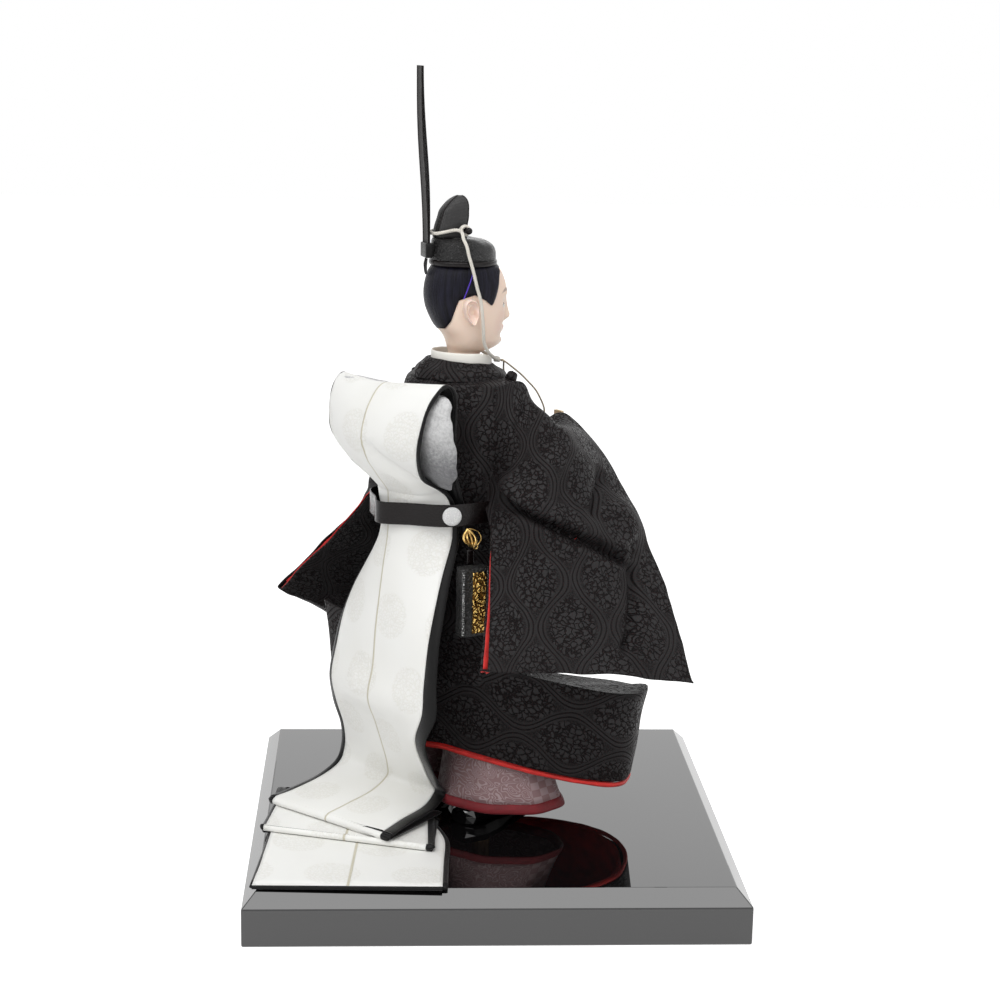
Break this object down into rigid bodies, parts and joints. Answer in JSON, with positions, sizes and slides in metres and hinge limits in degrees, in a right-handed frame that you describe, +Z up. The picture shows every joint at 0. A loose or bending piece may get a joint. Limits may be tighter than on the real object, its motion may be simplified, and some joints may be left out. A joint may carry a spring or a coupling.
{
  "type": "hina doll",
  "caption": "Standing court doll in black robe and long folded white train, with tall-tailed cap, baton, belt and hip case, on a lacquered square board.",
  "frame": {"origin": "middle of the board's underside", "axes": "+Z up, +X along the board's front edge, -Y towards the viewer of the picture"},
  "size_m": [0.3, 0.3, 0.5008],
  "materials": {
    "lacquer": "black gloss lacquer",
    "steel": "bare",
    "wood": "planed",
    "pale_wood": "satin",
    "straw": "bound straw",
    "gofun": "shell-white coating, soft sheen",
    "damask": "woven pattern, satin figure on a matt ground",
    "red": "plain silk",
    "dark_red": "plain silk",
    "pale_damask": "woven pattern, soft sheen",
    "white_silk": "woven medallions, soft sheen",
    "satin": "black satin",
    "cotton": "loose fibre",
    "leather": "gloss",
    "stone": "polished",
    "gold": "gilt",
    "shagreen": "grained",
    "hair": "combed silk fibre",
    "cap_black": "satin lacquer over stiffened cloth",
    "gauze": "stiffened gauze",
    "black_cord": "twisted",
    "silk_cord": "twisted paper and silk",
    "purple_cord": "thread"
  },
  "bodies": {
    "doll": {"base_board": "lacquer", "fixing_screw_left": "steel", "fixing_screw_right": "steel", "leg_left": "wood", "leg_right": "wood", "shoe_left": "lacquer", "shoe_right": "lacquer", "straw_core": "straw", "arm_wire": "steel", "arm_pad_left": "straw", "arm_pad_right": "straw", "hand_left": "gofun", "hand_right": "gofun", "robe_body": "damask", "hem_band": "damask", "hem_band_lining": "red", "sleeve_left": "damask", "sleeve_right": "damask", "sleeve_lining_left": "red", "sleeve_lining_right": "red", "inner_collar": "white_silk", "robe_collar": "damask", "collar_knot": "damask", "hakama_left": "pale_damask", "hakama_right": "pale_damask", "hakama_hem_left": "dark_red", "hakama_hem_right": "dark_red", "train_face": "white_silk", "train_lining": "satin", "fold_wadding": "cotton", "belt": "leather", "belt_eyelet": "gold", "belt_stone_left": "stone", "belt_stone_right": "stone"},
    "headgear": {"head": "gofun", "neck_peg": "wood", "hair": "hair", "hair_thread": "purple_cord", "cap_rim": "cap_black", "cap_bowl": "cap_black", "koji": "cap_black", "cap_pin": "cap_black", "ei_holder": "cap_black", "ei_loop": "black_cord", "chin_cord": "silk_cord", "chin_knot": "silk_cord", "chin_tail_left": "silk_cord", "chin_tail_right": "silk_cord"},
    "tail_leaves": {"ei_leaf_front": "gauze", "ei_leaf_back": "gauze"},
    "case": {"hip_case": "shagreen", "case_strap": "leather", "gilt_loop": "gold", "case_mount": "gold"},
    "baton": {"shaku": "pale_wood"}
  },
  "joints": [
    {"name": "head_turn", "type": "hinge", "parent": "doll", "child": "headgear", "pos_m": [-0.02, -0.005, 0.3226], "axis": [0, 0, 1], "range_deg": [-12, 12]},
    {"name": "leaf_slide", "type": "slide", "parent": "headgear", "child": "tail_leaves", "axis": [-0.0434, -0.0108, 0.999], "range_m": [0, 0.006]},
    {"name": "case_swing", "type": "hinge", "parent": "doll", "child": "case", "pos_m": [-0.01721, -0.05853, 0.23122], "axis": [-0.9199, -0.3921, 0], "range_deg": [0, 25]},
    {"name": "baton_slide", "type": "slide", "parent": "doll", "child": "baton", "axis": [0, 0, 1], "range_m": [0, 0.03]}
  ]
}
